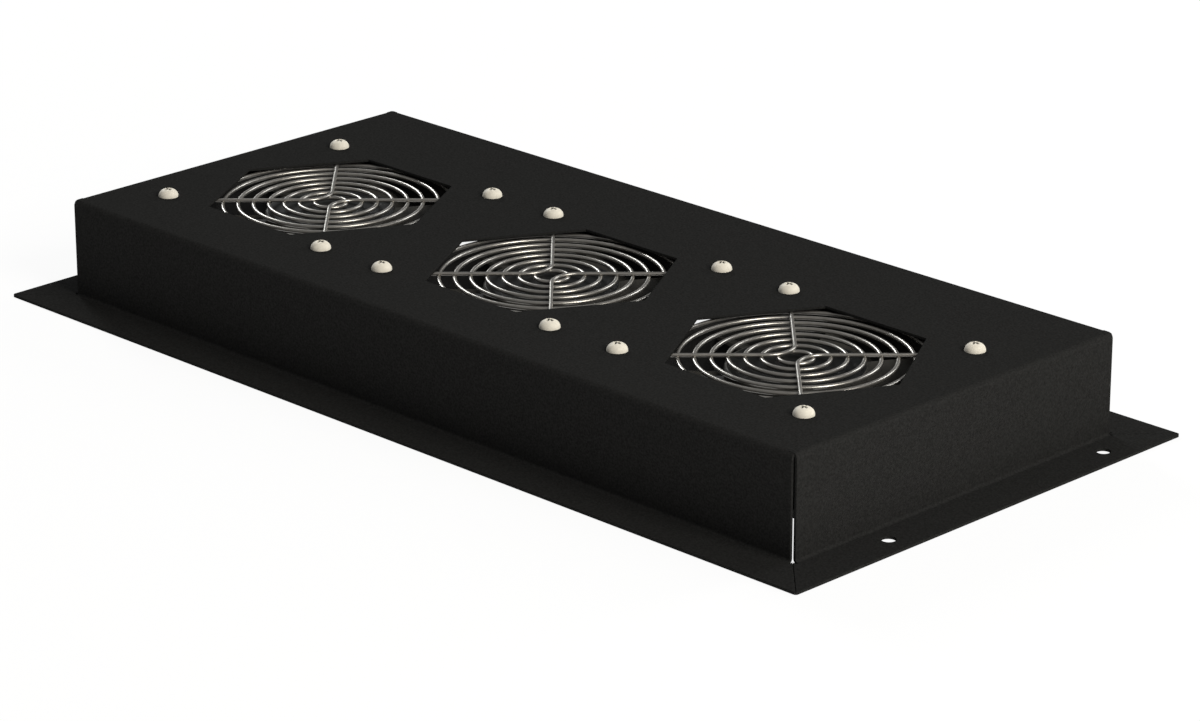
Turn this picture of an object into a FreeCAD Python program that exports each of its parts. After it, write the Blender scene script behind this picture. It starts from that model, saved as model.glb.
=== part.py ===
import FreeCAD, Part
import math
import os
import Sketcher
from FreeCAD import Placement, Rotation, Vector

# Rack roof fan tray: a folded steel hood that carries three square axial fans behind wire finger guards.
# Millimetres. The origin is the centre of the mounting flange's underside, X along the tray, Z up.

document = FreeCAD.newDocument("rack_roof_fan_tray")
sheet = document.addObject("Spreadsheet::Sheet", "Sizes")


class Length:
    """A size together with the sheet formula that gives it, so that sums of sizes stay bound to the sheet."""

    def __init__(self, value, formula):
        self.value = value
        self.formula = formula

    def __add__(self, other):
        other = as_length(other)
        return Length(self.value + other.value, f"({self.formula} + {other.formula})")

    def __radd__(self, other):
        return as_length(other) + self

    def __sub__(self, other):
        other = as_length(other)
        return Length(self.value - other.value, f"({self.formula} - {other.formula})")

    def __rsub__(self, other):
        return as_length(other) - self

    def __mul__(self, other):
        other = as_length(other)
        return Length(self.value * other.value, f"({self.formula} * {other.formula})")

    def __rmul__(self, other):
        return as_length(other) * self

    def __truediv__(self, other):
        other = as_length(other)
        return Length(self.value / other.value, f"({self.formula} / {other.formula})")

    def __neg__(self):
        return Length(-self.value, f"(-1 * {self.formula})")


def as_length(number):
    """A plain number as a length, and a length as itself."""
    if isinstance(number, Length):
        return number
    return Length(float(number), f"{float(number):.6f}")


def size(alias, value):
    """Writes one driving size to the sheet's next row and returns it."""
    row = size.rows + 1
    size.rows = row
    sheet.set(f"A{row}", str(value))
    sheet.setAlias(f"A{row}", alias)
    return Length(float(value), f"Sizes.{alias}")


size.rows = 0


def sine(angle):
    """The sine of an angle in degrees."""
    return Length(math.sin(math.radians(angle.value)), f"sin({angle.formula})")


def square_root(area):
    """The square root of an area."""
    return Length(math.sqrt(area.value), f"sqrt({area.formula})")


def cosine(angle):
    """The cosine of an angle in degrees."""
    return Length(math.cos(math.radians(angle.value)), f"cos({angle.formula})")


# The folded hood: its box, its sheet and its bends
box_length = size("box_length", 449.0)
box_width = size("box_width", 198.5)
tray_height = size("tray_height", 47.0)
sheet_thickness = size("sheet_thickness", 1.2)
bend_radius = size("bend_radius", 1.3)
flange_width = size("flange_width", 20.75)
corner_gap = size("corner_gap", 0.3)
seam_width = size("seam_width", 0.25)
seam_depth = size("seam_depth", 0.6)
relief_width = size("relief_width", 0.9)
relief_reach = size("relief_reach", 0.2)
flange_corner_radius = size("flange_corner_radius", 1.5)

# Where the fans sit, and the cut-outs and holes that follow them
end_space = size("end_space", 18.8)
fan_row_shift = size("fan_row_shift", 12.0)
hexagon_radius = size("hexagon_radius", 57.0)
screw_inset = size("screw_inset", 7.0)
screw_clearance = size("screw_clearance", 0.25)
FAN_COUNT = 3

# The four fixing holes in the short flanges
flange_hole_radius = size("flange_hole_radius", 3.15)
flange_hole_outset = size("flange_hole_outset", 10.4)
flange_hole_front = size("flange_hole_front", 54.25)
flange_hole_rear = size("flange_hole_rear", 81.25)

# The finger guards, welded from drawn wire
rib_wire = size("rib_wire", 1.7)
ring_wire = size("ring_wire", 1.5)
weld_sink = size("weld_sink", 0.2)
first_ring_radius = size("first_ring_radius", 7.4)
rib_bend_radius = size("rib_bend_radius", 12.0)
eyelet_clearance = size("eyelet_clearance", 0.3)
RING_COUNT = 8

# The fan's cast frame
fan_width = size("fan_width", 119.0)
fan_depth = size("fan_depth", 38.0)
frame_flange = size("frame_flange", 4.0)
frame_corner_radius = size("frame_corner_radius", 5.0)
barrel_wall = size("barrel_wall", 2.6)
barrel_inset = size("barrel_inset", 0.5)
inlet_flare = size("inlet_flare", 0.4)
inlet_depth = size("inlet_depth", 2.0)
frame_hole_clearance = size("frame_hole_clearance", 0.15)
strut_width = size("strut_width", 5.0)
strut_depth = size("strut_depth", 3.0)
cup_radius = size("cup_radius", 30.0)
cup_wall = size("cup_wall", 1.5)
cup_floor = size("cup_floor", 2.0)
cup_depth = size("cup_depth", 6.2)
STRUT_COUNT = 4

# The bearings, their tube and the shaft
shaft_radius = size("shaft_radius", 1.5)
shaft_running_gap = size("shaft_running_gap", 0.02)
bearing_radius = size("bearing_radius", 4.0)
bearing_width = size("bearing_width", 4.0)
bearing_tube_wall = size("bearing_tube_wall", 2.0)
tube_shoulder = size("tube_shoulder", 0.7)
lower_bearing_height = size("lower_bearing_height", 3.4)
bearing_span = size("bearing_span", 23.6)
shaft_end_height = size("shaft_end_height", 2.4)
clip_thickness = size("clip_thickness", 0.5)
clip_radius = size("clip_radius", 2.9)
clip_gap = size("clip_gap", 0.15)
clip_groove_depth = size("clip_groove_depth", 0.3)
clip_slot = size("clip_slot", 1.8)
washer_radius = size("washer_radius", 3.6)
washer_thickness = size("washer_thickness", 0.35)
washer_rise = size("washer_rise", 0.7)

# The rotor: bell, cage and impeller
hub_radius = size("hub_radius", 30.0)
hub_wall = size("hub_wall", 2.0)
hub_sink = size("hub_sink", 2.15)
hub_edge = size("hub_edge", 0.8)
hub_clearance = size("hub_clearance", 1.3)
press_gap = size("press_gap", 0.01)
bell_fit = size("bell_fit", 0.05)
bell_wall = size("bell_wall", 1.6)
bell_boss_radius = size("bell_boss_radius", 4.2)
bell_recess = size("bell_recess", 0.7)
cage_wall = size("cage_wall", 1.2)
air_gap = size("air_gap", 0.5)
tip_clearance = size("tip_clearance", 1.25)
blade_root_chord = size("blade_root_chord", 27.0)
blade_tip_chord = size("blade_tip_chord", 36.0)
blade_root_stagger = size("blade_root_stagger", 50.0)
blade_tip_stagger = size("blade_tip_stagger", 32.0)
blade_root_camber = size("blade_root_camber", 4.5)
blade_tip_camber = size("blade_tip_camber", 3.0)
blade_root_thickness = size("blade_root_thickness", 2.2)
blade_tip_thickness = size("blade_tip_thickness", 1.4)
blade_middle_height = size("blade_middle_height", 21.5)
BLADE_COUNT = 7

# The stator and its windings
core_height = size("core_height", 12.0)
core_base_height = size("core_base_height", 9.5)
core_yoke = size("core_yoke", 3.5)
pole_neck = size("pole_neck", 7.0)
pole_shoe = size("pole_shoe", 3.6)
pole_angle = size("pole_angle", 70.0)
coil_build = size("coil_build", 3.2)
coil_clearance = size("coil_clearance", 0.1)
coil_inner_radius = size("coil_inner_radius", 10.6)
POLE_COUNT = 4

# The supply terminals
terminal_width = size("terminal_width", 15.0)
terminal_depth = size("terminal_depth", 6.0)
terminal_height = size("terminal_height", 9.0)
terminal_gap = size("terminal_gap", 0.3)
tab_spacing = size("tab_spacing", 7.0)
tab_width = size("tab_width", 2.8)
tab_thickness = size("tab_thickness", 0.5)
tab_reach = size("tab_reach", 7.5)

# The screws and nuts that hold guard and fan
screw_radius = size("screw_radius", 2.0)
screw_head_radius = size("screw_head_radius", 4.6)
screw_head_height = size("screw_head_height", 4.0)
screw_end = size("screw_end", 1.4)
nut_width = size("nut_width", 7.0)
nut_height = size("nut_height", 3.2)
nut_thread_gap = size("nut_thread_gap", 0.02)

document.recompute()

# Each fan hangs under the roof with its guard between them, and the outer ring rests on the barrel's rim.
# The row of fans fills the box between the end spaces.
sheet_underside = tray_height - sheet_thickness
guard_depth = rib_wire + ring_wire - weld_sink
fan_top = sheet_underside - guard_depth
fan_base = fan_top - fan_depth
fan_pitch = (box_length - (sheet_thickness + end_space) * 2 - fan_width) / (FAN_COUNT - 1)
fan_row = -fan_row_shift
half_screws = fan_width / 2 - screw_inset
barrel_bore_radius = fan_width / 2 - barrel_inset - barrel_wall
ring_pitch = (barrel_bore_radius - first_ring_radius) / (RING_COUNT - 1)
products = []


def fan_centre(number):
    """Where the axis of this fan stands along the tray, counted from the left."""
    return fan_pitch * (number - (FAN_COUNT + 1) / 2)


def keep(item, label):
    """Names a finished sub-part, so that it is checked and exported."""
    item.Label = label
    products.append(item)
    return item


def new_body(label):
    """An empty body with the name of its sub-part."""
    return document.addObject("PartDesign::Body", label)


def origin_feature(body, role):
    """One of the body's own origin planes or axes."""
    return [feature for feature in body.Origin.OriginFeatures if feature.Role == role][0]


def new_sketch(body, name, plane, lift=None):
    """A sketch on one of the body's origin planes, raised along the plane's normal."""
    sketch = body.newObject("Sketcher::SketchObject", name)
    sketch.AttachmentSupport = [(origin_feature(body, plane), "")]
    sketch.MapMode = "FlatFace"
    if lift is not None:
        sketch.setExpression("AttachmentOffset.Base.z", lift.formula)
    return sketch


def dimension(sketch, kind, *items):
    """A dimension between sketch items, whose last item is the length that drives it."""
    length = items[-1]
    index = sketch.addConstraint(Sketcher.Constraint(kind, *items[:-1], length.value))
    sketch.setExpression(f"Constraints[{index}]", length.formula)


def fix_point(sketch, shape, end, x, y):
    """Ties one point of a sketched line or curve to the sketch's origin."""
    for kind, axis, length in (("DistanceX", -2, as_length(x)), ("DistanceY", -1, as_length(y))):
        if length.formula == "0.000000":
            sketch.addConstraint(Sketcher.Constraint("PointOnObject", shape, end, axis))
        else:
            dimension(sketch, kind, -1, 1, shape, end, length)


def outline(sketch, points):
    """A closed outline through the points. A third number rounds that corner, which is then a right angle."""
    corners = [tuple(as_length(number) for number in point) for point in points]
    ends = [Vector(corner[0].value, corner[1].value, 0) for corner in corners]
    first = sketch.GeometryCount
    sides = []
    for start, end in zip(ends, ends[1:] + ends[:1]):
        sides.append(sketch.addGeometry(Part.LineSegment(start, end), False))
    for side, corner in enumerate(corners):
        before, after = sides[side - 1], sides[side]
        if len(corner) == 2:
            sketch.addConstraint(Sketcher.Constraint("Coincident", before, 2, after, 1))
            fix_point(sketch, after, 1, *corner)
        else:
            arriving = (ends[side] - ends[side - 1]).normalize()
            leaving = (ends[(side + 1) % len(ends)] - ends[side]).normalize()
            round_corner(sketch, before, after, corner, arriving, leaving)
    return first


def round_corner(sketch, before, after, corner, arriving, leaving):
    """Joins two sides at right angles with an arc that both run into smoothly."""
    x, y, radius = corner
    turn = leaving - arriving
    centre_x, centre_y = x + radius * turn.x, y + radius * turn.y
    middle = Vector(centre_x.value, centre_y.value, 0)
    angles = [math.atan2(-leaving.y, -leaving.x), math.atan2(arriving.y, arriving.x)]
    tips = (1, 2)
    if arriving.cross(leaving).z < 0:
        angles.reverse()
        tips = (2, 1)
    curve = Part.ArcOfCircle(Part.Circle(middle, Vector(0, 0, 1), radius.value), *angles)
    arc = sketch.addGeometry(curve, False)
    sketch.addConstraint(Sketcher.Constraint("Tangent", before, 2, arc, tips[0]))
    sketch.addConstraint(Sketcher.Constraint("Tangent", arc, tips[1], after, 1))
    fix_point(sketch, arc, 3, centre_x, centre_y)
    dimension(sketch, "Radius", arc, radius)


def rectangle(sketch, low_x, low_y, high_x, high_y):
    """A closed rectangle between two corners."""
    outline(sketch, [(low_x, low_y), (high_x, low_y), (high_x, high_y), (low_x, high_y)])


def hexagon(sketch, radius):
    """A regular hexagon about the origin with two sides along the sketch's x axis."""
    half = radius / 2
    rise = radius * math.sqrt(3) / 2
    outline(sketch, [(radius, 0), (half, rise), (-half, rise), (-radius, 0), (-half, -rise), (half, -rise)])


def circle(sketch, x, y, radius):
    """A circle about a point of the sketch."""
    x, y = as_length(x), as_length(y)
    shape = sketch.addGeometry(Part.Circle(Vector(x.value, y.value, 0), Vector(0, 0, 1), radius.value), False)
    dimension(sketch, "Radius", shape, radius)
    fix_point(sketch, shape, 3, x, y)


def pad(body, name, sketch, length, both_ways=False):
    """Adds the sketch's area, as thick as the length, on one side of it or half on each."""
    feature = body.newObject("PartDesign::Pad", name)
    feature.Profile = sketch
    if both_ways:
        feature.SideType = "Symmetric"
    feature.setExpression("Length", length.formula)
    document.recompute()
    return feature


def pocket(body, name, sketch, depth):
    """Cuts the sketch's area down from its plane, and makes sure that it took something away."""
    before = body.Shape.Volume
    feature = body.newObject("PartDesign::Pocket", name)
    feature.Profile = sketch
    feature.setExpression("Length", depth.formula)
    document.recompute()
    if not body.Shape.Volume < before:
        raise RuntimeError(f"{name} cuts nothing")
    return feature


def revolution(body, name, sketch, kind="PartDesign::Revolution"):
    """Turns the sketch a full turn about its vertical axis."""
    feature = body.newObject(kind, name)
    feature.Profile = sketch
    feature.ReferenceAxis = (sketch, ["V_Axis"])
    feature.Angle = 360
    document.recompute()
    return feature


def groove(body, name, sketch):
    """Cuts the sketch's full turn away, and makes sure that it took something."""
    before = body.Shape.Volume
    feature = revolution(body, name, sketch, "PartDesign::Groove")
    if not body.Shape.Volume < before:
        raise RuntimeError(f"{name} cuts nothing")
    return feature


def polar_pattern(body, name, originals, count):
    """Repeats features evenly round the body's own vertical axis."""
    pattern = body.newObject("PartDesign::PolarPattern", name)
    pattern.Originals = originals
    pattern.Axis = (origin_feature(body, "Z_Axis"), [""])
    pattern.Angle = 360
    pattern.Occurrences = count
    body.Tip = pattern
    document.recompute()
    return pattern


def mirrored(body, name, originals, plane):
    """Repeats features on the other side of one of the body's origin planes."""
    mirror = body.newObject("PartDesign::Mirrored", name)
    mirror.Originals = originals
    mirror.MirrorPlane = (origin_feature(body, plane), [""])
    body.Tip = mirror
    document.recompute()
    return mirror


def turned(label, points):
    """A body turned from one outline of radii and heights."""
    body = new_body(label)
    sketch = new_sketch(body, f"{label}_profile", "XZ_Plane")
    outline(sketch, points)
    revolution(body, f"{label}_turned", sketch)
    return body


def tube(label, inner, outer, low, high):
    """A plain ring between two radii and two heights."""
    return turned(label, [(inner, low), (outer, low), (outer, high), (inner, high)])


def place(item, x, y, z):
    """Stands a finished sub-part in the tray."""
    for axis, length in zip("xyz", (as_length(x), as_length(y), as_length(z))):
        item.setExpression(f"Placement.Base.{axis}", length.formula)


def in_fan(item, number):
    """Stands a sub-part on the axis of a fan, with height zero at the fan's outlet side."""
    place(item, fan_centre(number), fan_row, fan_base)


def group(label, master, spots):
    """Identical pieces in one sub-part: copies of a master body's solid, one at each spot."""
    document.recompute()
    solids = []
    for spot in spots:
        copy = master.Shape.copy()
        copy.Placement = spot
        solids.append(copy)
    item = document.addObject("Part::Feature", label)
    item.Shape = Part.makeCompound(solids)
    return keep(item, label)


def tray_hood():
    """One steel sheet: a shallow box folded down on four sides, with a flange folded out round its mouth."""
    body = new_body("tray_hood")
    half_length = box_length / 2
    half_width = box_width / 2
    outer_bend = bend_radius + sheet_thickness
    wall_end_x = half_length - sheet_thickness - corner_gap
    wall_end_y = half_width - sheet_thickness - corner_gap

    roof_sketch = new_sketch(body, "roof_outline", "XY_Plane", sheet_underside)
    roof_x = half_length - outer_bend
    roof_y = half_width - outer_bend
    rectangle(roof_sketch, -roof_x, -roof_y, roof_x, roof_y)
    pad(body, "roof", roof_sketch, sheet_thickness)
    for name, plane, middle, length in (
        ("end", "XZ_Plane", half_length, wall_end_y * 2),
        ("side", "YZ_Plane", half_width, wall_end_x * 2),
    ):
        fold_sketch = new_sketch(body, f"{name}_fold_section", plane)
        outline(fold_sketch, fold_section(middle))
        fold = pad(body, f"{name}_fold", fold_sketch, length, both_ways=True)
        facing = "YZ_Plane" if name == "end" else "XZ_Plane"
        mirrored(body, f"facing_{name}_fold", [fold], facing)

    corner_sketch = new_sketch(body, "flange_corner_outline", "XY_Plane")
    outline(corner_sketch, flange_corner(half_length, half_width, wall_end_x, wall_end_y))
    corner = pad(body, "flange_corner", corner_sketch, sheet_thickness)
    seam_sketch = new_sketch(body, "mitre_outline", "XY_Plane", sheet_thickness)
    outline(seam_sketch, mitre_seam(half_length, half_width))
    mirrored(body, "left_flange_corner", [corner], "YZ_Plane")
    mirrored(body, "rear_flange_corner", [corner], "XZ_Plane")
    polar_pattern(body, "far_flange_corner", [corner], 2)
    seam = pocket(body, "mitre", seam_sketch, seam_depth)
    mirrored(body, "left_mitre", [seam], "YZ_Plane")
    mirrored(body, "rear_mitre", [seam], "XZ_Plane")
    polar_pattern(body, "far_mitre", [seam], 2)

    fan_sketch = new_sketch(body, "fan_cut_out", "XY_Plane", tray_height)
    fan_sketch.setExpression("AttachmentOffset.Base.x", fan_centre(1).formula)
    fan_sketch.setExpression("AttachmentOffset.Base.y", fan_row.formula)
    hexagon(fan_sketch, hexagon_radius)
    for x in (-half_screws, half_screws):
        for y in (-half_screws, half_screws):
            circle(fan_sketch, x, y, screw_radius + screw_clearance)
    cut_out = pocket(body, "first_fan_cut_out", fan_sketch, sheet_thickness * 2)
    row = body.newObject("PartDesign::LinearPattern", "fan_cut_outs")
    row.Originals = [cut_out]
    row.Direction = (origin_feature(body, "X_Axis"), [""])
    row.setExpression("Length", (fan_pitch * (FAN_COUNT - 1)).formula)
    row.Occurrences = FAN_COUNT
    body.Tip = row
    document.recompute()

    hole_sketch = new_sketch(body, "flange_hole_places", "XY_Plane", sheet_thickness * 2)
    for side in (-1, 1):
        for y in (-flange_hole_front, flange_hole_rear):
            circle(hole_sketch, (half_length + flange_hole_outset) * side, y, flange_hole_radius)
    pocket(body, "flange_holes", hole_sketch, sheet_thickness * 3)
    keep(body, "tray_hood")


def fold_section(middle):
    """The section of one folded side, from the roof's edge round two bends to the flange's edge."""
    inside = bend_radius
    outside = bend_radius + sheet_thickness
    edge = middle + flange_width
    return [
        (middle - outside * 2, tray_height),
        (middle - outside * 2, sheet_underside),
        (middle - sheet_thickness, sheet_underside, inside),
        (middle - sheet_thickness, 0, outside),
        (edge, 0),
        (edge, sheet_thickness),
        (middle, sheet_thickness, inside),
        (middle, tray_height, outside),
    ]


def flange_corner(half_length, half_width, wall_end_x, wall_end_y):
    """The flat of the right front flange corner, with a relief slot beside the end of each wall."""
    edge_x, edge_y = half_length + flange_width, half_width + flange_width
    slot_x, slot_y = half_length + bend_radius + relief_reach, half_width + bend_radius + relief_reach
    tongue_x, tongue_y = wall_end_x + relief_width, wall_end_y + relief_width
    return [
        (edge_x, -edge_y, flange_corner_radius),
        (edge_x, -wall_end_y),
        (slot_x, -wall_end_y),
        (slot_x, -tongue_y),
        (tongue_x, -tongue_y),
        (tongue_x, -slot_y),
        (wall_end_x, -slot_y),
        (wall_end_x, -edge_y),
    ]


def mitre_seam(half_length, half_width):
    """The closed seam between two flanges: a fine groove out along the right front corner's diagonal."""
    across = seam_width / 2 * math.sqrt(0.5)
    start, end = -(sheet_thickness + corner_gap), flange_width * 1.1
    points = []
    for reach, side in ((start, -1), (end, -1), (end, 1), (start, 1)):
        points.append((half_length + reach + across * side, -(half_width + reach - across * side)))
    return points


def finger_guard(number):
    """A welded wire guard: eight rings under two bent ribs, which end in an eyelet for each screw."""
    label = f"finger_guard_{number}"
    body = new_body(label)
    rib_middle = rib_wire / 2
    apex = rib_bend_radius * (math.sqrt(2) - 1)

    section = new_sketch(body, "rib_section", "XZ_Plane")
    rectangle(section, -apex - rib_wire / 2, 0, -apex + rib_wire / 2, rib_wire)
    path = new_sketch(body, "rib_path", "XY_Plane", rib_middle)
    bend_centre = rib_bend_radius * math.sqrt(2)
    tangent = rib_bend_radius * math.sqrt(0.5)
    eyelet_radius = screw_radius + eyelet_clearance + rib_wire / 2
    arm_end = half_screws - eyelet_radius * math.sqrt(0.5)
    bend_circle = Part.Circle(Vector(-bend_centre.value, 0, 0), Vector(0, 0, 1), rib_bend_radius.value)
    bend = path.addGeometry(Part.ArcOfCircle(bend_circle, 0, math.radians(45)), False)
    tangent_point = Vector(-tangent.value, tangent.value, 0)
    arm = path.addGeometry(Part.LineSegment(tangent_point, Vector(-arm_end.value, arm_end.value, 0)), False)
    path.addConstraint(Sketcher.Constraint("Tangent", bend, 2, arm, 1))
    path.addConstraint(Sketcher.Constraint("PointOnObject", bend, 1, -1))
    fix_point(path, bend, 3, -bend_centre, 0)
    dimension(path, "Radius", bend, rib_bend_radius)
    fix_point(path, arm, 2, -arm_end, arm_end)
    rib = body.newObject("PartDesign::AdditivePipe", "rib_half")
    rib.Profile = section
    rib.Spine = path
    document.recompute()

    eyelet_sketch = new_sketch(body, "eyelet_rings", "XY_Plane")
    for radius in (screw_radius + eyelet_clearance + rib_wire, screw_radius + eyelet_clearance):
        circle(eyelet_sketch, -half_screws, half_screws, radius)
    eyelet = pad(body, "eyelet", eyelet_sketch, rib_wire)

    ring_sketch = new_sketch(body, "ring_sections", "XZ_Plane")
    for ring in range(RING_COUNT):
        radius = first_ring_radius + ring_pitch * ring
        half_ring = ring_wire / 2
        rectangle(ring_sketch, radius - half_ring, weld_sink - ring_wire, radius + half_ring, weld_sink)
    revolution(body, "rings", ring_sketch)

    mirrored(body, "rib_other_half", [rib, eyelet], "XZ_Plane")
    mirrored(body, "facing_rib_half", [rib, eyelet], "YZ_Plane")
    polar_pattern(body, "facing_rib_other_half", [rib, eyelet], 2)
    place(body, fan_centre(number), fan_row, sheet_underside - rib_wire)
    keep(body, label)


def fan_frame(number):
    """The fan's casting: a barrel between two square flanges, with struts to the motor cup and bearing tube."""
    label = f"fan_frame_{number}"
    body = new_body(label)
    outer = barrel_bore_radius + barrel_wall

    barrel_sketch = new_sketch(body, "barrel_profile", "XZ_Plane")
    rectangle(barrel_sketch, barrel_bore_radius, 0, outer, fan_depth)
    revolution(body, "barrel", barrel_sketch)
    for name, low in (("outlet_flange", as_length(0)), ("inlet_flange", fan_depth - frame_flange)):
        flange_sketch = new_sketch(body, f"{name}_outline", "XY_Plane", low)
        rounded_square(flange_sketch, fan_width / 2, frame_corner_radius)
        circle(flange_sketch, 0, 0, barrel_bore_radius)
        pad(body, name, flange_sketch, frame_flange)

    flare_sketch = new_sketch(body, "inlet_flare_profile", "XZ_Plane")
    throat = fan_depth - inlet_depth
    mouth = barrel_bore_radius + inlet_flare
    corners = [(barrel_bore_radius - 1, fan_depth), (barrel_bore_radius - 1, throat)]
    corners += [(barrel_bore_radius, throat), (mouth, fan_depth)]
    outline(flare_sketch, corners)
    groove(body, "inlet_flare", flare_sketch)

    hole_sketch = new_sketch(body, "frame_hole", "XY_Plane", fan_depth)
    circle(hole_sketch, half_screws, half_screws, screw_radius + frame_hole_clearance)
    hole = pocket(body, "first_frame_hole", hole_sketch, fan_depth)
    polar_pattern(body, "frame_holes", [hole], 4)

    strut_sketch = new_sketch(body, "strut_outline", "XY_Plane")
    strut_sketch.AttachmentOffset = Placement(Vector(0, 0, 0), Rotation(Vector(0, 0, 1), 45))
    strut_end = barrel_bore_radius + barrel_wall / 2
    rectangle(strut_sketch, cup_radius - cup_wall / 2, -strut_width / 2, strut_end, strut_width / 2)
    strut = pad(body, "strut", strut_sketch, strut_depth)
    polar_pattern(body, "struts", [strut], STRUT_COUNT)

    seat = bearing_radius
    shoulder = bearing_radius - tube_shoulder
    tube_radius = bearing_radius + bearing_tube_wall
    tube_top = lower_bearing_height + bearing_span
    cup_sketch = new_sketch(body, "cup_and_tube_profile", "XZ_Plane")
    corners = [(0, 0), (cup_radius, 0), (cup_radius, cup_depth), (cup_radius - cup_wall, cup_depth)]
    corners += [(cup_radius - cup_wall, cup_floor), (tube_radius, cup_floor), (tube_radius, tube_top)]
    corners += [(seat, tube_top), (seat, tube_top - bearing_width), (shoulder, tube_top - bearing_width)]
    corners += [(shoulder, lower_bearing_height + bearing_width), (seat, lower_bearing_height + bearing_width)]
    corners += [(seat, cup_floor), (0, cup_floor)]
    outline(cup_sketch, corners)
    revolution(body, "cup_and_tube", cup_sketch)
    in_fan(body, number)
    keep(body, label)


def rounded_square(sketch, half, radius):
    """A square about the sketch's origin with rounded corners."""
    outline(sketch, [(half, -half, radius), (half, half, radius), (-half, half, radius), (-half, -half, radius)])


def impeller(number):
    """The moulded impeller: a hub cup that sits over the rotor bell, with seven twisted blades."""
    label = f"impeller_{number}"
    body = new_body(label)
    hub_top = fan_depth - hub_sink
    hub_bottom = cup_depth + hub_clearance
    tip_radius = barrel_bore_radius - tip_clearance

    hub_sketch = new_sketch(body, "hub_profile", "XZ_Plane")
    corners = [(0, hub_bottom), (hub_radius, hub_bottom), (hub_radius, hub_top - hub_edge)]
    corners += [(hub_radius - hub_edge, hub_top), (0, hub_top)]
    outline(hub_sketch, corners)
    revolution(body, "hub", hub_sketch)

    inside = hub_radius - hub_wall
    root = blade_section(body, "blade_root", inside * 0.86, blade_root_chord, blade_root_stagger,
                         blade_root_camber, blade_root_thickness)
    tip = blade_section(body, "blade_tip", tip_radius, blade_tip_chord, blade_tip_stagger,
                        blade_tip_camber, blade_tip_thickness)
    blade = body.newObject("PartDesign::AdditiveLoft", "blade")
    blade.Profile = root
    blade.Sections = [tip]
    blade.Ruled = True
    document.recompute()
    polar_pattern(body, "blades", [blade], BLADE_COUNT)

    trim_sketch = new_sketch(body, "tip_trim_profile", "XZ_Plane")
    rectangle(trim_sketch, tip_radius, 0, tip_radius * 1.3, fan_depth)
    groove(body, "tip_trim", trim_sketch)
    hollow_sketch = new_sketch(body, "hub_hollow_profile", "XZ_Plane")
    rectangle(hollow_sketch, 0, hub_bottom / 2, inside, hub_top - hub_wall)
    groove(body, "hub_hollow", hollow_sketch)
    in_fan(body, number)
    keep(body, label)


def blade_section(body, name, distance, chord, stagger, camber, thickness):
    """A blade's cross-section on a plane at a distance from the shaft: a plate bent to a circular arc.

    The chord leans up by the stagger angle, and both faces are arcs that rise above it by the camber.
    """
    sketch = new_sketch(body, name, "YZ_Plane", distance)
    lean, rise = cosine(stagger), sine(stagger)
    radius = (chord * chord / 4 + camber * camber) / (camber * 2)
    half_angle = math.asin(chord.value / 2 / radius.value)
    arcs = []
    for side in (1, -1):
        shift_x = -(rise * thickness * side / 2)
        shift_y = blade_middle_height + lean * thickness * side / 2
        ends = [(chord * lean * end / 2 + shift_x, chord * rise * end / 2 + shift_y) for end in (1, -1)]
        middle_x = shift_x + rise * (radius - camber)
        middle_y = shift_y - lean * (radius - camber)
        face = Part.Circle(Vector(middle_x.value, middle_y.value, 0), Vector(0, 0, 1), radius.value)
        upright = math.radians(stagger.value) + math.pi / 2
        arc = sketch.addGeometry(Part.ArcOfCircle(face, upright - half_angle, upright + half_angle), False)
        fix_point(sketch, arc, 1, *ends[0])
        fix_point(sketch, arc, 2, *ends[1])
        dimension(sketch, "Radius", arc, radius)
        arcs.append((arc, ends))
    for end, point in ((0, 1), (1, 2)):
        corners = [Vector(ends[end][0].value, ends[end][1].value, 0) for _, ends in arcs]
        line = sketch.addGeometry(Part.LineSegment(*corners), False)
        for position, (arc, _) in enumerate(arcs):
            sketch.addConstraint(Sketcher.Constraint("Coincident", line, position + 1, arc, point))
    return sketch


def rotor_bell(number):
    """The drawn steel bell of the outer rotor, with the boss that holds the shaft."""
    top = fan_depth - hub_sink - hub_wall
    outer = hub_radius - hub_wall - bell_fit
    inner = outer - bell_wall
    bottom = cup_depth + hub_clearance + bell_recess
    bore = shaft_radius + press_gap
    boss_end = lower_bearing_height + bearing_span + washer_rise + washer_thickness + clip_gap
    corners = [(bore, boss_end), (bell_boss_radius, boss_end), (bell_boss_radius, top - bell_wall)]
    corners += [(inner, top - bell_wall), (inner, bottom), (outer, bottom), (outer, top), (bore, top)]
    body = turned(f"rotor_bell_{number}", corners)
    in_fan(body, number)
    keep(body, f"rotor_bell_{number}")


def rotor_cage(number):
    """The laminated cage ring pressed inside the bell, which faces the stator's poles."""
    outer = hub_radius - hub_wall - bell_fit - bell_wall - press_gap
    body = tube(f"rotor_cage_{number}", outer - cage_wall, outer, core_base_height, core_base_height + core_height)
    in_fan(body, number)
    keep(body, f"rotor_cage_{number}")


def shaft(number):
    """The ground steel shaft, with the groove for its clip near the lower end."""
    top = fan_depth - hub_sink - hub_wall
    groove_top = lower_bearing_height - clip_gap
    groove_low = groove_top - clip_thickness
    waist = shaft_radius - clip_groove_depth
    corners = [(0, shaft_end_height), (shaft_radius, shaft_end_height), (shaft_radius, groove_low)]
    corners += [(waist, groove_low), (waist, groove_top), (shaft_radius, groove_top), (shaft_radius, top), (0, top)]
    body = turned(f"shaft_{number}", corners)
    in_fan(body, number)
    keep(body, f"shaft_{number}")


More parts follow.
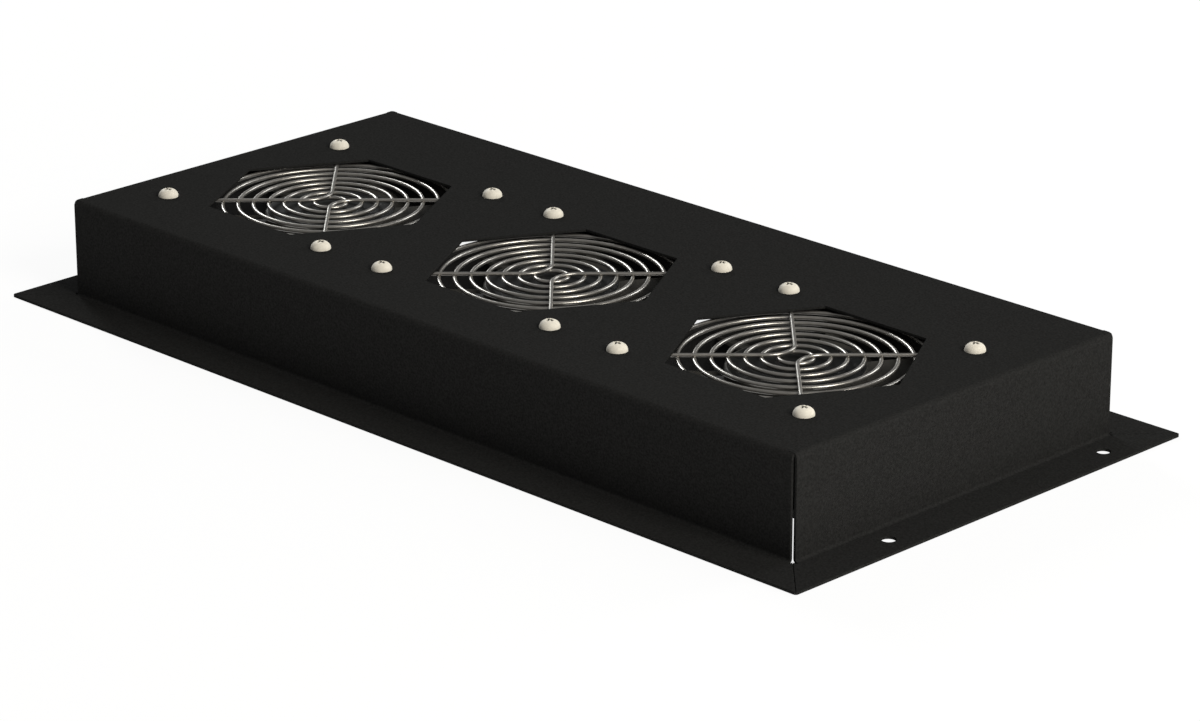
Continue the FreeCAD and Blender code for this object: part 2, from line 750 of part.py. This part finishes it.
def retaining_clip(number):
    """The open spring clip that snaps into the shaft's groove and keeps the rotor in."""
    label = f"retaining_clip_{number}"
    top = lower_bearing_height - clip_gap
    inner = shaft_radius - clip_groove_depth + press_gap
    body = tube(label, inner, clip_radius, top - clip_thickness + press_gap, top - press_gap)
    slot_sketch = new_sketch(body, "clip_mouth", "XY_Plane", top)
    rectangle(slot_sketch, 0, -clip_slot / 2, clip_radius * 1.2, clip_slot / 2)
    pocket(body, "clip_opening", slot_sketch, clip_thickness * 2)
    in_fan(body, number)
    keep(body, label)


def bearings(number):
    """Two equal bearings, one at each end of the bearing tube."""
    for name, low in (("lower", lower_bearing_height), ("upper", lower_bearing_height + bearing_span - bearing_width)):
        label = f"{name}_bearing_{number}"
        inner = shaft_radius + shaft_running_gap
        body = tube(label, inner, bearing_radius - press_gap, low, low + bearing_width)
        in_fan(body, number)
        keep(body, label)


def spring_washer(number):
    """The dished spring washer that takes up the end play above the upper bearing."""
    label = f"spring_washer_{number}"
    low = lower_bearing_height + bearing_span
    inner = shaft_radius + clip_gap
    corners = [(inner, low + washer_rise), (washer_radius, low), (washer_radius, low + washer_thickness)]
    corners += [(inner, low + washer_rise + washer_thickness)]
    body = turned(label, corners)
    in_fan(body, number)
    keep(body, label)


def stator_core(number):
    """The laminated core on the bearing tube: a yoke with four wide-faced poles."""
    label = f"stator_core_{number}"
    tube_radius = bearing_radius + bearing_tube_wall + press_gap
    face = hub_radius - hub_wall - bell_fit - bell_wall - press_gap - cage_wall - air_gap
    top = core_base_height + core_height
    body = tube(label, tube_radius, tube_radius + core_yoke, core_base_height, top)
    neck_sketch = new_sketch(body, "pole_neck_outline", "XY_Plane", core_base_height)
    rectangle(neck_sketch, tube_radius + core_yoke / 2, -pole_neck / 2, face - pole_shoe / 2, pole_neck / 2)
    neck = pad(body, "pole_neck", neck_sketch, core_height)
    shoe_sketch = new_sketch(body, "pole_shoe_profile", "XZ_Plane")
    rectangle(shoe_sketch, face - pole_shoe, core_base_height, face, top)
    shoe = body.newObject("PartDesign::Revolution", "pole_shoe")
    shoe.Profile = shoe_sketch
    shoe.ReferenceAxis = (shoe_sketch, ["V_Axis"])
    shoe.setExpression("Angle", pole_angle.formula)
    shoe.Midplane = True
    document.recompute()
    polar_pattern(body, "poles", [neck, shoe], POLE_COUNT)
    in_fan(body, number)
    keep(body, label)


def coil_master():
    """One coil, wound round a pole neck that points along X."""
    body = new_body("coil_master")
    face = hub_radius - hub_wall - bell_fit - bell_wall - press_gap - cage_wall - air_gap
    half_coil = pole_neck / 2 + coil_clearance + coil_build
    shoe_back = face - pole_shoe - coil_clearance
    length = square_root(shoe_back * shoe_back - half_coil * half_coil) - coil_inner_radius
    sketch = new_sketch(body, "coil_section", "YZ_Plane", coil_inner_radius)
    middle = core_base_height + core_height / 2
    inner_y = pole_neck / 2 + coil_clearance
    inner_z = core_height / 2 + coil_clearance
    for grow in (coil_build, as_length(0)):
        low, high = middle - inner_z - grow, middle + inner_z + grow
        rectangle(sketch, -(inner_y + grow), low, inner_y + grow, high)
    pad(body, "coil", sketch, length)
    return body


def stator_windings(number, master):
    """The four coils of one stator."""
    centre = Vector(fan_centre(number).value, fan_row.value, fan_base.value)
    turns = [Rotation(Vector(0, 0, 1), 360 / POLE_COUNT * pole) for pole in range(POLE_COUNT)]
    group(f"stator_windings_{number}", master, [Placement(centre, turn) for turn in turns])


def terminal_block(number):
    """The moulded block on the outlet flange, behind the barrel, that holds the two supply tabs."""
    label = f"terminal_block_{number}"
    body = new_body(label)
    near = barrel_bore_radius + barrel_wall + terminal_gap
    sketch = new_sketch(body, "terminal_outline", "XY_Plane", frame_flange)
    sketch.AttachmentOffset = Placement(Vector(0, 0, 0), Rotation(Vector(0, 0, 1), 135))
    sketch.setExpression("AttachmentOffset.Base.z", frame_flange.formula)
    rectangle(sketch, near, -terminal_width / 2, near + terminal_depth, terminal_width / 2)
    pad(body, "terminal_body", sketch, terminal_height)
    in_fan(body, number)
    keep(body, label)


def tab_master():
    """One flat supply tab, pointing away from the fan along X, on edge."""
    near = barrel_bore_radius + barrel_wall + terminal_gap + terminal_depth
    body = new_body("tab_master")
    sketch = new_sketch(body, "tab_outline", "XY_Plane", frame_flange + (terminal_height - tab_width) / 2)
    rectangle(sketch, near, -tab_thickness / 2, near + tab_reach, tab_thickness / 2)
    pad(body, "tab", sketch, tab_width)
    return body


def terminal_tabs(number, master):
    """The two tabs that the supply leads push onto."""
    turn = Rotation(Vector(0, 0, 1), 135)
    centre = Vector(fan_centre(number).value, fan_row.value, fan_base.value)
    spots = []
    for side in (-1, 1):
        shift = turn.multVec(Vector(0, tab_spacing.value / 2 * side, 0))
        spots.append(Placement(centre + shift, turn))
    group(f"terminal_tabs_{number}", master, spots)


def screw_places(height):
    """The spots of all the fan screws, at a height."""
    spots = []
    for number in range(1, FAN_COUNT + 1):
        for x in (-half_screws, half_screws):
            for y in (-half_screws, half_screws):
                spot = Vector(fan_centre(number).value + x.value, fan_row.value + y.value, height.value)
                spots.append(Placement(spot, Rotation()))
    return spots


def fan_screws():
    """Domed screws through the roof, a guard's eyelet and the fan's flange."""
    length = sheet_thickness + guard_depth + frame_flange + nut_height + screw_end
    master = new_body("screw_master")
    profile = new_sketch(master, "screw_profile", "XZ_Plane")
    dome_radius = (screw_head_radius * screw_head_radius + screw_head_height * screw_head_height) / (
        screw_head_height * 2
    )
    dome_centre = screw_head_height - dome_radius
    dome = Part.Circle(Vector(0, dome_centre.value, 0), Vector(0, 0, 1), dome_radius.value)
    rim_angle = math.atan2(-dome_centre.value, screw_head_radius.value)
    arc = profile.addGeometry(Part.ArcOfCircle(dome, rim_angle, math.pi / 2), False)
    corners = [(0, screw_head_height), (0, -length), (screw_radius, -length), (screw_radius, 0)]
    corners += [(screw_head_radius, 0)]
    corners = [(as_length(x), as_length(y)) for x, y in corners]
    for start, end in zip(corners, corners[1:]):
        points = [Vector(x.value, y.value, 0) for x, y in (start, end)]
        profile.addGeometry(Part.LineSegment(*points), False)
    for line in range(arc + 1, arc + len(corners)):
        fix_point(profile, line, 1, *corners[line - arc - 1])
    for line in range(arc + 1, arc + len(corners) - 1):
        profile.addConstraint(Sketcher.Constraint("Coincident", line, 2, line + 1, 1))
    profile.addConstraint(Sketcher.Constraint("Coincident", arc, 2, arc + 1, 1))
    profile.addConstraint(Sketcher.Constraint("Coincident", arc + len(corners) - 1, 2, arc, 1))
    fix_point(profile, arc, 1, *corners[-1])
    dimension(profile, "Radius", arc, dome_radius)
    revolution(master, "screw_turned", profile)
    group("fan_screws", master, screw_places(tray_height))


def screw_nuts():
    """The hexagon nuts under the inlet flanges."""
    master = new_body("nut_master")
    sketch = new_sketch(master, "nut_outline", "XY_Plane")
    hexagon(sketch, nut_width / math.sqrt(3))
    circle(sketch, 0, 0, screw_radius + nut_thread_gap)
    pad(master, "nut", sketch, nut_height)
    group("screw_nuts", master, screw_places(fan_top - frame_flange - nut_height))


def check(item):
    """Stops the build if a sub-part failed or is not a set of sound closed solids."""
    if any(word in state for state in item.State for word in ("Invalid", "Error")):
        raise RuntimeError(f"{item.Label} failed: {item.State}")
    shape = item.Shape
    if shape.isNull() or not shape.isValid() or not shape.Solids:
        raise RuntimeError(f"{item.Label} has no valid solid")


def build():
    """Makes every sub-part in the order of assembly."""
    tray_hood()
    coil = coil_master()
    tab = tab_master()
    for number in range(1, FAN_COUNT + 1):
        finger_guard(number)
        fan_frame(number)
        bearings(number)
        stator_core(number)
        stator_windings(number, coil)
        terminal_block(number)
        terminal_tabs(number, tab)
        shaft(number)
        spring_washer(number)
        retaining_clip(number)
        rotor_cage(number)
        rotor_bell(number)
        impeller(number)
    fan_screws()
    screw_nuts()


build()
document.recompute()
for item in document.Objects:
    if any(word in state for state in item.State for word in ("Invalid", "Error")):
        raise RuntimeError(f"{item.Name} failed: {item.State}")
os.makedirs("parts", exist_ok=True)
for product in products:
    check(product)
for product in products:
    product.Shape.exportStep(f"parts/{product.Label}.step")
    print(product.Label, len(product.Shape.Solids), round(product.Shape.Volume, 2))
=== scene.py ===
import math
import bpy
import numpy as np
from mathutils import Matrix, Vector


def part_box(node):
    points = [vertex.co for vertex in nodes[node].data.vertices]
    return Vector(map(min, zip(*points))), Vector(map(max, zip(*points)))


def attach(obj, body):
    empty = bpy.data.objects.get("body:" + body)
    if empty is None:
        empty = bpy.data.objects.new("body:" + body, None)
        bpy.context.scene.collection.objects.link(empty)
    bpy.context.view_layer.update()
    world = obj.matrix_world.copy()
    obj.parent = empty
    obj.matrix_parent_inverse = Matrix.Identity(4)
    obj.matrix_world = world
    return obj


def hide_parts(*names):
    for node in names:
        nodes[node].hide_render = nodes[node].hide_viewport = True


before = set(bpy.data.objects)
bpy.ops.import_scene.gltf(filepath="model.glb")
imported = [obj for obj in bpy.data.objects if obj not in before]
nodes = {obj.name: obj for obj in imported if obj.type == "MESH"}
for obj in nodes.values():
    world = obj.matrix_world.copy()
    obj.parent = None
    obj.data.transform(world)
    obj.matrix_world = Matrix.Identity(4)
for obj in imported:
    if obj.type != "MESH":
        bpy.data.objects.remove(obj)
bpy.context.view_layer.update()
fan_numbers = (1, 2, 3)


# The tray hood is one sheet of 1.2 mm steel, cut on a punch and folded down on four sides and out
# again to a flange. Its corners stay open. It is sprayed with black powder that melts to a fine,
# slightly rough skin.
grain_octaves = 3.0
grain_spread = (0.3, 0.7)


def grained_finish(
    name, dark, light, grain, relief, roughness, metallic=0.0, specular=0.5, edge=0.0002
):
    """A finish whose colour and height follow noise in the piece's own space.

    grain is the size of the noise in metres, and relief the height of its bumps. The colour runs
    from dark to light while the noise runs over grain_spread. edge is the radius to which sharp
    corners are softened in the shading, if any.
    """
    material = bpy.data.materials.new(name)
    material.use_nodes = True
    tree = material.node_tree
    shader = tree.nodes["Principled BSDF"]
    shader.inputs["Roughness"].default_value = roughness
    shader.inputs["Metallic"].default_value = metallic
    shader.inputs["Specular IOR Level"].default_value = specular
    place = tree.nodes.new("ShaderNodeTexCoord")
    noise = tree.nodes.new("ShaderNodeTexNoise")
    noise.inputs["Scale"].default_value = 1.0 / grain
    noise.inputs["Detail"].default_value = grain_octaves
    tree.links.new(place.outputs["Object"], noise.inputs["Vector"])
    ramp = tree.nodes.new("ShaderNodeValToRGB")
    for stop, position, colour in zip(ramp.color_ramp.elements, grain_spread, (dark, light)):
        stop.position = position
        stop.color = (*colour, 1.0)
    tree.links.new(noise.outputs["Fac"], ramp.inputs["Fac"])
    tree.links.new(ramp.outputs["Color"], shader.inputs["Base Color"])
    bump = tree.nodes.new("ShaderNodeBump")
    bump.inputs["Strength"].default_value = 1.0
    bump.inputs["Distance"].default_value = relief
    tree.links.new(noise.outputs["Fac"], bump.inputs["Height"])
    if edge:
        soft_edge = tree.nodes.new("ShaderNodeBevel")
        soft_edge.inputs["Radius"].default_value = edge
        tree.links.new(soft_edge.outputs["Normal"], bump.inputs["Normal"])
    tree.links.new(bump.outputs["Normal"], shader.inputs["Normal"])
    return material


def dress(material, *names):
    """Gives a finish to the CAD pieces with these names."""
    for name in names:
        for slot in nodes[name].material_slots:
            slot.material = material


powder_coat = grained_finish(
    "powder_coat_black", (0.0128, 0.0128, 0.0126), (0.0218, 0.0218, 0.0215),
    grain=0.0009, relief=0.00005, roughness=0.8, specular=0.0, edge=0.0006,
)
dress(powder_coat, "tray_hood")


# The finger guards are welded from drawn steel wire and plated bright. Eight rings hang under two
# ribs, each bent to a blunt V, and an eyelet at every rib's end goes round a fan screw under the
# roof.
rib_radius = 0.00087
ring_radius = 0.00093
first_ring, ring_step, ring_count = 0.0074, 0.007, 8
rib_bend = 0.012
screw_square = 0.105
eyelet_radius = 0.0032
wire_sides = 20
ring_spacing = 0.0013
fewest_ring_points = 48
arm_points = 30
bend_points = 25


def grid_quads(rows, columns, closed_rows):
    """The four-sided faces of a grid of points whose columns close on themselves.

    Each face joins a point, the one beside it, and the same two in the next row. The last row
    joins the first one where the rows are closed.
    """
    row, column = np.meshgrid(
        np.arange(rows if closed_rows else rows - 1), np.arange(columns), indexing="ij"
    )
    after, beside = (row + 1) % rows, (column + 1) % columns
    corners = [
        row * columns + column, row * columns + beside,
        after * columns + beside, after * columns + column,
    ]
    return np.stack(corners, axis=-1).reshape(-1, 4)


def tube(path, radius, closed):
    """A round wire along a flat path: its points, its quads and the faces that close its ends.

    Round each path point lies a circle in the plane of the path's sideways direction and the
    vertical. Each of its points is the path point plus the radius times the sideways direction by
    the cosine of the turn and the vertical by its sine.
    """
    if closed:
        along = np.roll(path, -1, axis=0) - np.roll(path, 1, axis=0)
    else:
        along = np.gradient(path, axis=0)
    along /= np.linalg.norm(along, axis=1, keepdims=True)
    up = np.array([0.0, 0.0, 1.0])
    sideways = np.cross(up, along)
    turn = np.linspace(0, 2 * math.pi, wire_sides, endpoint=False)
    circle = np.cos(turn)[None, :, None] * sideways[:, None, :] + np.sin(turn)[None, :, None] * up
    points = (path[:, None, :] + radius * circle).reshape(-1, 3)
    ends = []
    if not closed:
        ends = [np.arange(wire_sides)[::-1], (len(path) - 1) * wire_sides + np.arange(wire_sides)]
    return points, grid_quads(len(path), wire_sides, closed), ends


def ring_path(centre, radius, height):
    """A level circle: the centre plus the radius times the turn's cosine in x and its sine in y."""
    count = max(fewest_ring_points, int(2 * math.pi * radius / ring_spacing))
    turn = np.linspace(0, 2 * math.pi, count, endpoint=False)
    x = centre[0] + radius * np.cos(turn)
    y = centre[1] + radius * np.sin(turn)
    return np.stack([x, y, np.full(count, height)], axis=1)


def rib_path(centre, side, height):
    """A V that opens to one side: two straight arms on the fan's diagonals, joined by an arc.

    The arc has its centre on the fan's X axis at root two of its own radius, so that both arms
    run into it. It swings a quarter turn, from 45 degrees on one side to 45 on the other.
    """
    arm_end = screw_square / 2 - eyelet_radius * math.sqrt(0.5)
    arm_start = rib_bend * math.sqrt(0.5)
    arm = np.linspace(arm_end, arm_start, arm_points)[:-1]
    swing = np.radians(np.linspace(-45, 45, bend_points))
    x = np.concatenate([-arm, rib_bend * (np.cos(swing) - math.sqrt(2)), -arm[::-1]])
    y = np.concatenate([-arm, rib_bend * np.sin(swing), arm[::-1]])
    flat = np.stack([-side * x, -side * y, np.full(len(x), 0.0)], axis=1)
    return flat + np.array([centre[0], centre[1], height])


def joined(name, parts):
    """One smooth mesh object from parts, each with its points, its quads and its end faces.

    Every part's point numbers are raised by the number of points before it.
    """
    points, faces, start = [], [], 0
    for part_points, quads, ends in parts:
        points.append(part_points)
        faces += (quads + start).tolist() + [(end + start).tolist() for end in ends]
        start += len(part_points)
    mesh = bpy.data.meshes.new(name)
    mesh.from_pydata(np.concatenate(points).tolist(), [], faces)
    mesh.shade_smooth()
    piece = bpy.data.objects.new(name, mesh)
    bpy.context.scene.collection.objects.link(piece)
    return piece


def screw_places(low, high):
    """The fan's four screws: the middle of its box, half the screw square out in x and in y."""
    return [
        (
            (low.x + high.x) / 2 + side_x * screw_square / 2,
            (low.y + high.y) / 2 + side_y * screw_square / 2,
        )
        for side_x in (-1, 1) for side_y in (-1, 1)
    ]


bright_wire = grained_finish(
    "guard_wire", (0.27, 0.259, 0.241), (0.34, 0.326, 0.303),
    grain=0.004, relief=0.00001, roughness=0.31, metallic=0.85, edge=0.0,
)
for number in fan_numbers:
    low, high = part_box(f"finger_guard_{number}")
    centre = ((low.x + high.x) / 2, (low.y + high.y) / 2)
    rib_height = high.z - rib_radius
    ring_height = low.z + ring_radius
    rings = [
        tube(ring_path(centre, first_ring + ring_step * step, ring_height), ring_radius, True)
        for step in range(ring_count)
    ]
    ribs = [tube(rib_path(centre, side, rib_height), rib_radius, False) for side in (-1, 1)]
    eyelets = [
        tube(ring_path(place, eyelet_radius, rib_height), rib_radius, True)
        for place in screw_places(low, high)
    ]
    guard = joined(f"wire_guard_{number}", rings + ribs + eyelets)
    guard.data.materials.append(bright_wire)
    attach(guard, "tray")
    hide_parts(f"finger_guard_{number}")


# The fan frames are die cast in aluminium and painted black. Each is a barrel between two square
# flanges, with four struts under it to the motor cup and its bearing tube.
cast_paint = grained_finish(
    "cast_frame_black", (0.009, 0.009, 0.009), (0.014, 0.014, 0.014),
    grain=0.0012, relief=0.00006, roughness=0.5, specular=0.12, edge=0.0004,
)
dress(cast_paint, *[f"fan_frame_{number}" for number in fan_numbers])


# The bearings and the shaft are turned and ground steel, oiled and bright. The clip that holds the
# shaft under the lower bearing and the washer over the upper one are stamped spring steel.
ground_steel = grained_finish(
    "bright_steel", (0.5, 0.5, 0.5), (0.62, 0.62, 0.62),
    grain=0.0005, relief=0.000004, roughness=0.25, metallic=1.0,
)
spring_steel = grained_finish(
    "spring_steel", (0.16, 0.16, 0.18), (0.24, 0.24, 0.27),
    grain=0.0008, relief=0.000004, roughness=0.35, metallic=1.0,
)
for number in fan_numbers:
    dress(ground_steel, f"lower_bearing_{number}", f"upper_bearing_{number}", f"shaft_{number}")
    dress(spring_steel, f"retaining_clip_{number}", f"spring_washer_{number}")


# The stator is a stack of stamped laminations on the bearing tube, with a coil of enamelled copper
# wire round each of its four poles. The rotor's cage ring is stacked in the same way inside the
# drawn steel bell.
laminations = grained_finish(
    "lamination_steel", (0.14, 0.14, 0.15), (0.24, 0.24, 0.25),
    grain=0.0006, relief=0.00003, roughness=0.45, metallic=1.0,
)
copper_wire = grained_finish(
    "copper_wire", (0.28, 0.09, 0.035), (0.5, 0.19, 0.08),
    grain=0.0005, relief=0.0001, roughness=0.3, metallic=1.0,
)
drawn_steel = grained_finish(
    "drawn_steel", (0.3, 0.3, 0.3), (0.42, 0.42, 0.42),
    grain=0.002, relief=0.00001, roughness=0.35, metallic=1.0,
)
for number in fan_numbers:
    dress(laminations, f"stator_core_{number}", f"rotor_cage_{number}")
    dress(copper_wire, f"stator_windings_{number}")
    dress(drawn_steel, f"rotor_bell_{number}")


# The supply terminal is a small moulded block on the outlet flange. Two tinned tabs stand in it,
# and the supply leads push onto them.
tinned = grained_finish(
    "tab_tin", (0.55, 0.55, 0.53), (0.66, 0.66, 0.64),
    grain=0.001, relief=0.00001, roughness=0.3, metallic=1.0,
)
moulded_plastic = grained_finish(
    "black_plastic", (0.008, 0.008, 0.008), (0.011, 0.011, 0.011),
    grain=0.0015, relief=0.00002, roughness=0.4, specular=0.3, edge=0.0005,
)
for number in fan_numbers:
    dress(tinned, f"terminal_tabs_{number}")
    dress(moulded_plastic, f"terminal_block_{number}")


# The impeller is moulded in black plastic: a hub cup pressed over the rotor bell, with seven
# twisted blades. Its colour is painted light: the hub is painted a deeper black as painted shade,
# and the blades a pale grey as painted sheen.
hub_radius = 0.029
# Both colours are painted light: the blades' pale grey is painted sheen, the hub's deeper black
# painted shade.
blade_painted_sheen = (0.052, 0.05, 0.046)
hub_painted_shade = (0.004, 0.004, 0.004)
level_part = (1, 1, 0)


def impeller_shade_and_sheen(name, centre):
    """Painted shade inside the hub's radius and painted sheen outside it.

    The radius is the distance from the centre to the point, both taken down to height nought.
    """
    material = grained_finish(
        name, hub_painted_shade, hub_painted_shade,
        grain=0.0015, relief=0.00002, roughness=0.45, specular=0.08, edge=0.0005,
    )
    tree = material.node_tree
    place = tree.nodes.new("ShaderNodeTexCoord")
    level = tree.nodes.new("ShaderNodeVectorMath")
    level.operation = "MULTIPLY"
    level.inputs[1].default_value = level_part
    reach = tree.nodes.new("ShaderNodeVectorMath")
    reach.operation = "DISTANCE"
    reach.inputs[1].default_value = (centre[0], centre[1], 0)
    blades = tree.nodes.new("ShaderNodeMath")
    blades.operation = "GREATER_THAN"
    blades.inputs[1].default_value = hub_radius
    colours = tree.nodes.new("ShaderNodeValToRGB")
    # The ramp runs from the hub's painted shade to the blades' painted sheen.
    colours.color_ramp.elements[0].color = (*hub_painted_shade, 1.0)
    colours.color_ramp.elements[1].color = (*blade_painted_sheen, 1.0)
    tree.links.new(place.outputs["Object"], level.inputs[0])
    tree.links.new(level.outputs["Vector"], reach.inputs[0])
    tree.links.new(reach.outputs["Value"], blades.inputs[0])
    tree.links.new(blades.outputs["Value"], colours.inputs["Fac"])
    tree.links.new(colours.outputs["Color"], tree.nodes["Principled BSDF"].inputs["Base Color"])
    return material


for number in fan_numbers:
    low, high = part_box(f"impeller_{number}")
    centre = ((low.x + high.x) / 2, (low.y + high.y) / 2)
    dress(impeller_shade_and_sheen(f"moulded_impeller_{number}", centre), f"impeller_{number}")


# The fan screws are M4 with a high dome and a cross recess, pale zinc plated. Each goes down
# through the roof, a guard's eyelet and the fan's flange into a nut. The recess is painted dark as
# painted shade.
head_radius = 0.00455
head_height = 0.0036
fullness = 2.25
rim_width = 0.0002
shank_radius = 0.002
end_chamfer = 0.0004
end_share = 0.8
pole_radius = 0.00001
pole_turn = 0.002
dome_rows = 60
screw_sides = 96
recess_width = 0.001
recess_length = 0.0036
recess_depth = 0.0018
recess_fade = 0.0002
recess_taper = 0.45
dark_from = 0.0004
dark_margin = 0.0001


def dome_height(out):
    """The height of a flattened circle at a distance out from the axis.

    One less the share of the head's radius raised to the fullness gives a number, and its root of
    the same power times the head's height is the height.
    """
    return head_height * (1 - np.minimum(out / head_radius, 1) ** fullness) ** (1 / fullness)


def screw(centre, seat, end):
    """A screw turned about a vertical axis, with a cross pressed into its dome.

    The profile runs over the dome, in along its rim to the shank and down to the end. The recess
    lowers each dome point by the recess's depth, less towards the arms' ends, and by a share that
    fades smoothly from one to nought across the cross's outline.
    """
    out = head_radius * np.sin(np.linspace(pole_turn, math.pi / 2, dome_rows))
    under = [
        (head_radius - rim_width, seat), (shank_radius, seat), (shank_radius, end + end_chamfer),
        (shank_radius * end_share, end), (pole_radius, end),
    ]
    radii = np.concatenate([out, [radius for radius, _ in under]])
    heights = np.concatenate([seat + dome_height(out), [height for _, height in under]])
    turn = np.linspace(0, 2 * math.pi, screw_sides, endpoint=False)
    x = radii[:, None] * np.cos(turn)
    y = radii[:, None] * np.sin(turn)
    z = np.repeat(heights[:, None], screw_sides, axis=1)
    across = np.minimum(np.abs(x), np.abs(y)) - recess_width / 2
    along = np.maximum(np.abs(x), np.abs(y)) - recess_length / 2
    sunk = np.clip(0.5 - np.maximum(across, along) / recess_fade, 0, 1)
    sunk = sunk * sunk * (3 - 2 * sunk)
    taper = 1 - recess_taper * np.hypot(x, y) / (recess_length / 2)
    z[:dome_rows] -= (recess_depth * sunk * taper)[:dome_rows]
    points = np.stack([centre[0] + x, centre[1] + y, z], axis=-1).reshape(-1, 3)
    quads = grid_quads(len(radii), screw_sides, False)[:, [0, 3, 2, 1]]
    top = np.arange(screw_sides)
    return points, quads, [top, ((len(radii) - 1) * screw_sides + top)[::-1]]


zinc_plate = grained_finish(
    "screw_metal", (0.66, 0.62, 0.54), (0.74, 0.70, 0.61),
    grain=0.0012, relief=0.000008, roughness=0.6, specular=0.2, edge=0.0,
)
# Painted shade: a dark colour laid on the faces inside the cross recess.
recess_painted_shade = grained_finish(
    "recess_painted_shade", (0.03, 0.028, 0.026), (0.05, 0.047, 0.043),
    grain=0.0005, relief=0.00001, roughness=0.7, edge=0.0,
)
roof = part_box("tray_hood")[1].z
screw_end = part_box("fan_screws")[0].z
places = []
for number in fan_numbers:
    low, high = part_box(f"fan_frame_{number}")
    places += screw_places(low, high)
fan_screws = joined("domed_screws", [screw(place, roof, screw_end) for place in places])
fan_screws.data.materials.append(zinc_plate)
fan_screws.data.materials.append(recess_painted_shade)
middles = np.empty(len(fan_screws.data.polygons) * 3)
fan_screws.data.polygons.foreach_get("center", middles)
x, y, z = middles.reshape(-1, 3).T
# The faces sunk in each cross recess get the painted shade.
recess_shade_faces = np.zeros(len(z), dtype=np.int32)
for place in places:
    out = np.hypot(x - place[0], y - place[1])
    sunk = (z > roof) & (z < roof + dome_height(out) - dark_from)
    recess_shade_faces[sunk & (out < recess_length / 2 + dark_margin)] = 1
fan_screws.data.polygons.foreach_set("material_index", recess_shade_faces)
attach(fan_screws, "tray")
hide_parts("fan_screws")
dress(ground_steel, "screw_nuts")


# The floor is a plain pale sheet that keeps the tray's shadow. It glows by a share where the
# camera sees it, straight or in a bright piece, so that it reads as white.
floor_half = 6.0
floor_gap = 0.0002
paper_white = (0.97, 0.97, 0.97, 1)
glow_share = 0.9
mesh = bpy.data.meshes.new("floor")
floor_corners = [
    (-floor_half, -floor_half, -floor_gap), (floor_half, -floor_half, -floor_gap),
    (floor_half, floor_half, -floor_gap), (-floor_half, floor_half, -floor_gap),
]
mesh.from_pydata(floor_corners, [], [(0, 1, 2, 3)])
floor = bpy.data.objects.new("floor", mesh)
bpy.context.scene.collection.objects.link(floor)
paper = bpy.data.materials.new("floor_paper")
paper.use_nodes = True
tree = paper.node_tree
matt = tree.nodes["Principled BSDF"]
matt.inputs["Base Color"].default_value = paper_white
matt.inputs["Roughness"].default_value = 0.9
shine = tree.nodes.new("ShaderNodeEmission")
shine.inputs["Strength"].default_value = 1.0
ray = tree.nodes.new("ShaderNodeLightPath")
seen = tree.nodes.new("ShaderNodeMath")
seen.operation = "MAXIMUM"
seen_through = tree.nodes.new("ShaderNodeMath")
seen_through.operation = "MAXIMUM"
share = tree.nodes.new("ShaderNodeMath")
share.operation = "MULTIPLY"
share.inputs[1].default_value = glow_share
mix = tree.nodes.new("ShaderNodeMixShader")
tree.links.new(ray.outputs["Is Camera Ray"], seen.inputs[0])
tree.links.new(ray.outputs["Is Glossy Ray"], seen.inputs[1])
tree.links.new(seen.outputs[0], seen_through.inputs[0])
tree.links.new(ray.outputs["Is Transmission Ray"], seen_through.inputs[1])
tree.links.new(seen_through.outputs[0], share.inputs[0])
tree.links.new(share.outputs[0], mix.inputs["Fac"])
tree.links.new(matt.outputs["BSDF"], mix.inputs[1])
tree.links.new(shine.outputs["Emission"], mix.inputs[2])
tree.links.new(mix.outputs["Shader"], tree.nodes["Material Output"].inputs["Surface"])
floor.data.materials.append(paper)


# The light is a dim room with a warm soft box to the right of the tray, one to the left and a
# weaker one behind it.
room_brightness = 0.25
lamp_distance = 3.0
warm_white = (1.0, 0.965, 0.89)
cool_white = (0.98, 1.0, 1.0)
world = bpy.data.worlds.new("room")
bpy.context.scene.world = world
world.use_nodes = True
world.node_tree.nodes["Background"].inputs["Color"].default_value = (1, 1, 1, 1)
world.node_tree.nodes["Background"].inputs["Strength"].default_value = room_brightness


def outwards(turn, rise):
    """The direction from the tray at a turn from the front towards the right and a rise.

    Across it is the turn's sine and back it is less its cosine, both by the rise's cosine. Up it
    is the rise's sine.
    """
    return np.array([
        math.sin(turn) * math.cos(rise), -math.cos(turn) * math.cos(rise), math.sin(rise)
    ])


def soft_box(name, azimuth, elevation, width, height, power, colour):
    """An upright lamp in a direction given in degrees, at the lamps' distance, facing the tray."""
    turn, rise = math.radians(azimuth), math.radians(elevation)
    lamp = bpy.data.lights.new(name, "AREA")
    lamp.shape = "RECTANGLE"
    lamp.size = width
    lamp.size_y = height
    lamp.energy = power
    lamp.color = colour
    box = bpy.data.objects.new(name, lamp)
    box.location = outwards(turn, rise) * lamp_distance
    box.rotation_euler = (math.pi / 2 - rise, 0, turn)
    bpy.context.scene.collection.objects.link(box)


soft_box("right_box", 86.5, 32, 1.2, 1.2, 83, warm_white)
soft_box("left_box", 249.4, 29, 0.55, 1.1, 41, cool_white)
soft_box("rear_box", 167, 26, 0.85, 1.4, 27, cool_white)


# The camera stands off the right front corner, a little above the tray, with a long lens. It aims
# at a point on the roof between the middle fan and the right one.
camera_turn = math.radians(45.023)
camera_rise = math.radians(20.328)
camera_distance = 1.8215
aim = np.array([0.09593, -0.07804, 0.047])
lens = bpy.data.cameras.new("camera")
lens.lens = 132.508
lens.sensor_width = 36.0
camera = bpy.data.objects.new("camera", lens)
camera.location = aim + camera_distance * outwards(camera_turn, camera_rise)
camera.rotation_euler = (math.pi / 2 - camera_rise, 0, camera_turn)
bpy.context.scene.collection.objects.link(camera)
bpy.context.scene.camera = camera
bpy.context.scene.view_settings.view_transform = "Standard"
